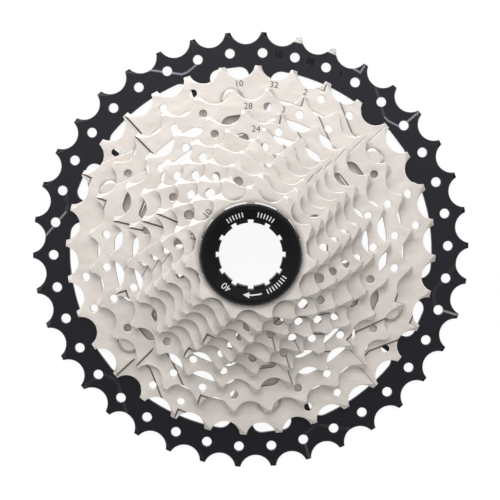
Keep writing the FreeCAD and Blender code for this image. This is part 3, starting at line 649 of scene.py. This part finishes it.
def add_floor(context):
    """A pale floor that keeps a soft shadow and shows nearly white to the camera and in reflections."""
    reach = (-FLOOR_REACH, FLOOR_REACH)
    u, v = np.meshgrid(reach, reach, indexing="ij")
    points = np.stack([u, v, np.full_like(u, BASE - FLOOR_GAP)], axis=-1).reshape(-1, 3)
    finish = Finish("studio_floor")
    base = finish.shade(tuple(colours(context).floor), 0.985 + 0.015 * finish.noise(6, 2))
    plain = finish.node("ShaderNodeBsdfDiffuse", values={"Color": base})
    glow = finish.node("ShaderNodeEmission", values={"Strength": FLOOR_GLOW})
    path = finish.node("ShaderNodeLightPath")
    camera, glossy, through = (
        Field(finish, path.outputs[f"Is {kind} Ray"]) for kind in ("Camera", "Glossy", "Transmission")
    )
    seen = FLOOR_GLOW_SHARE * camera.largest(glossy).largest(through)
    mixed = finish.node("ShaderNodeMixShader", values={0: seen, 1: plain.outputs[0], 2: glow.outputs[0]})
    finish.node("ShaderNodeOutputMaterial", values={"Surface": mixed.outputs[0]})
    mesh = bpy.data.meshes.new("floor")
    mesh.from_pydata(points, [], [(0, 2, 3, 1)])
    mesh.materials.append(finish.material)
    floor = bpy.data.objects.new("floor", mesh)
    context.scene.collection.objects.link(floor)


def add_sky(context):
    """Soft room light, bright overhead and towards +Y, and dim at the sides."""
    context.scene.world = bpy.data.worlds.new("studio")
    sky = Tree(context.scene.world)
    stops = [(place, (*(value * share for share in SKY_TINT), 1.0)) for place, value in SKY_STOPS]
    direction = sky.node("ShaderNodeTexCoord").outputs["Generated"]
    lean = sky.node("ShaderNodeVectorMath", {"operation": "DOT_PRODUCT"}, {0: direction, 1: SKY_LEAN})
    ramp = sky.node("ShaderNodeValToRGB", {"stops": stops}, {0: lean.outputs["Value"]})
    power = context.scene.cassette_lights.sky
    light = sky.node("ShaderNodeBackground", values={"Color": ramp.outputs[0], "Strength": power})
    sky.node("ShaderNodeOutputWorld", values={"Surface": light.outputs[0]})


def add_camera(context):
    """A long lens nearly straight above the lockring, a little towards +Y."""
    data = bpy.data.cameras.new("camera")
    data.lens = CAMERA_LENS
    data.sensor_width = CAMERA_SENSOR
    data.clip_start = CAMERA_NEAR
    data.clip_end = CAMERA_FAR
    camera = bpy.data.objects.new("camera", data)
    camera.location = CAMERA_PLACE
    aim = Vector(CAMERA_AIM) - camera.location
    camera.rotation_euler = (math.atan2(aim.y, -aim.z), math.atan2(-aim.x, -aim.z), 0.0)
    context.scene.collection.objects.link(camera)
    context.scene.camera = camera


class CASSETTE_OT_nickel(bpy.types.Operator):
    """Finish the nickel-plated sprockets"""

    bl_idname = "cassette.nickel"
    bl_label = "Nickel sprockets"

    def execute(self, context):
        paint(nickel_finish(context), [f"sprocket_{teeth}t" for teeth in NICKEL_SPROCKETS])
        return {"FINISHED"}


class CASSETTE_OT_black_sprocket(bpy.types.Operator):
    """Finish the largest sprocket in its black coat"""

    bl_idname = "cassette.black_sprocket"
    bl_label = "Black sprocket"

    def execute(self, context):
        paint(black_coat_finish(context), ["sprocket_38t"])
        return {"FINISHED"}


class CASSETTE_OT_carriers(bpy.types.Operator):
    """Finish the two carriers and their rivets"""

    bl_idname = "cassette.carriers"
    bl_label = "Carriers and rivets"

    def execute(self, context):
        paint(alloy_finish(context), ["large_carrier", "small_carrier"])
        paint(rivet_finish(context), ["large_rivets", "small_rivets"])
        return {"FINISHED"}


class CASSETTE_OT_spacers(bpy.types.Operator):
    """Finish the moulded spacers"""

    bl_idname = "cassette.spacers"
    bl_label = "Spacers"

    def execute(self, context):
        paint(plastic_finish(context), SPACERS)
        return {"FINISHED"}


class CASSETTE_OT_lockring(bpy.types.Operator):
    """Finish the lockring and its washer, and print the lockring's marks"""

    bl_idname = "cassette.lockring"
    bl_label = "Lockring"

    def execute(self, context):
        paint(anodised_finish(context), ["lockring"])
        paint(washer_finish(context), ["lockring_washer"])
        print_lockring(context)
        return {"FINISHED"}


class CASSETTE_OT_numbers(bpy.types.Operator):
    """Stamp plain numbers in the sprockets"""

    bl_idname = "cassette.numbers"
    bl_label = "Stamped numbers"

    def execute(self, context):
        stamp_sprockets(context)
        return {"FINISHED"}


class CASSETTE_OT_stage(bpy.types.Operator):
    """Make the floor, the room light, the lamps and the camera"""

    bl_idname = "cassette.stage"
    bl_label = "Stage"

    def execute(self, context):
        lights = context.scene.cassette_lights
        add_floor(context)
        add_sky(context)
        for name, (place, width, setting, share) in LAMPS.items():
            add_lamp(name, place, width, share * getattr(lights, setting))
        add_camera(context)
        context.scene.view_settings.view_transform = "Standard"
        return {"FINISHED"}


class CASSETTE_PT_panel(bpy.types.Panel):
    """Lists every step of the cassette's looks"""

    bl_idname = "CASSETTE_PT_panel"
    bl_label = "Cassette"
    bl_space_type = "VIEW_3D"
    bl_region_type = "UI"
    bl_category = "Cassette"

    def draw(self, context):
        for step in STEPS:
            self.layout.operator(step.bl_idname)
        for group in (sizes(context), colours(context), context.scene.cassette_lights):
            box = self.layout.box()
            for name in group.__annotations__:
                box.prop(group, name)


GROUPS = {
    "cassette_sizes": CassetteSizes,
    "cassette_colours": CassetteColours,
    "cassette_lights": CassetteLights,
}
STEPS = (
    CASSETTE_OT_nickel,
    CASSETTE_OT_black_sprocket,
    CASSETTE_OT_carriers,
    CASSETTE_OT_spacers,
    CASSETTE_OT_lockring,
    CASSETTE_OT_numbers,
    CASSETTE_OT_stage,
)


def register():
    for made in (*GROUPS.values(), *STEPS, CASSETTE_PT_panel):
        bpy.utils.register_class(made)
    for name, group in GROUPS.items():
        setattr(bpy.types.Scene, name, bpy.props.PointerProperty(type=group))


def unregister():
    for name in GROUPS:
        delattr(bpy.types.Scene, name)
    for made in reversed((*GROUPS.values(), *STEPS, CASSETTE_PT_panel)):
        bpy.utils.unregister_class(made)


def main():
    """Makes every piece and finish."""
    register()
    for step in STEPS:
        family, name = step.bl_idname.split(".")
        getattr(getattr(bpy.ops, family), name)()


if __name__ == "__main__":
    main()
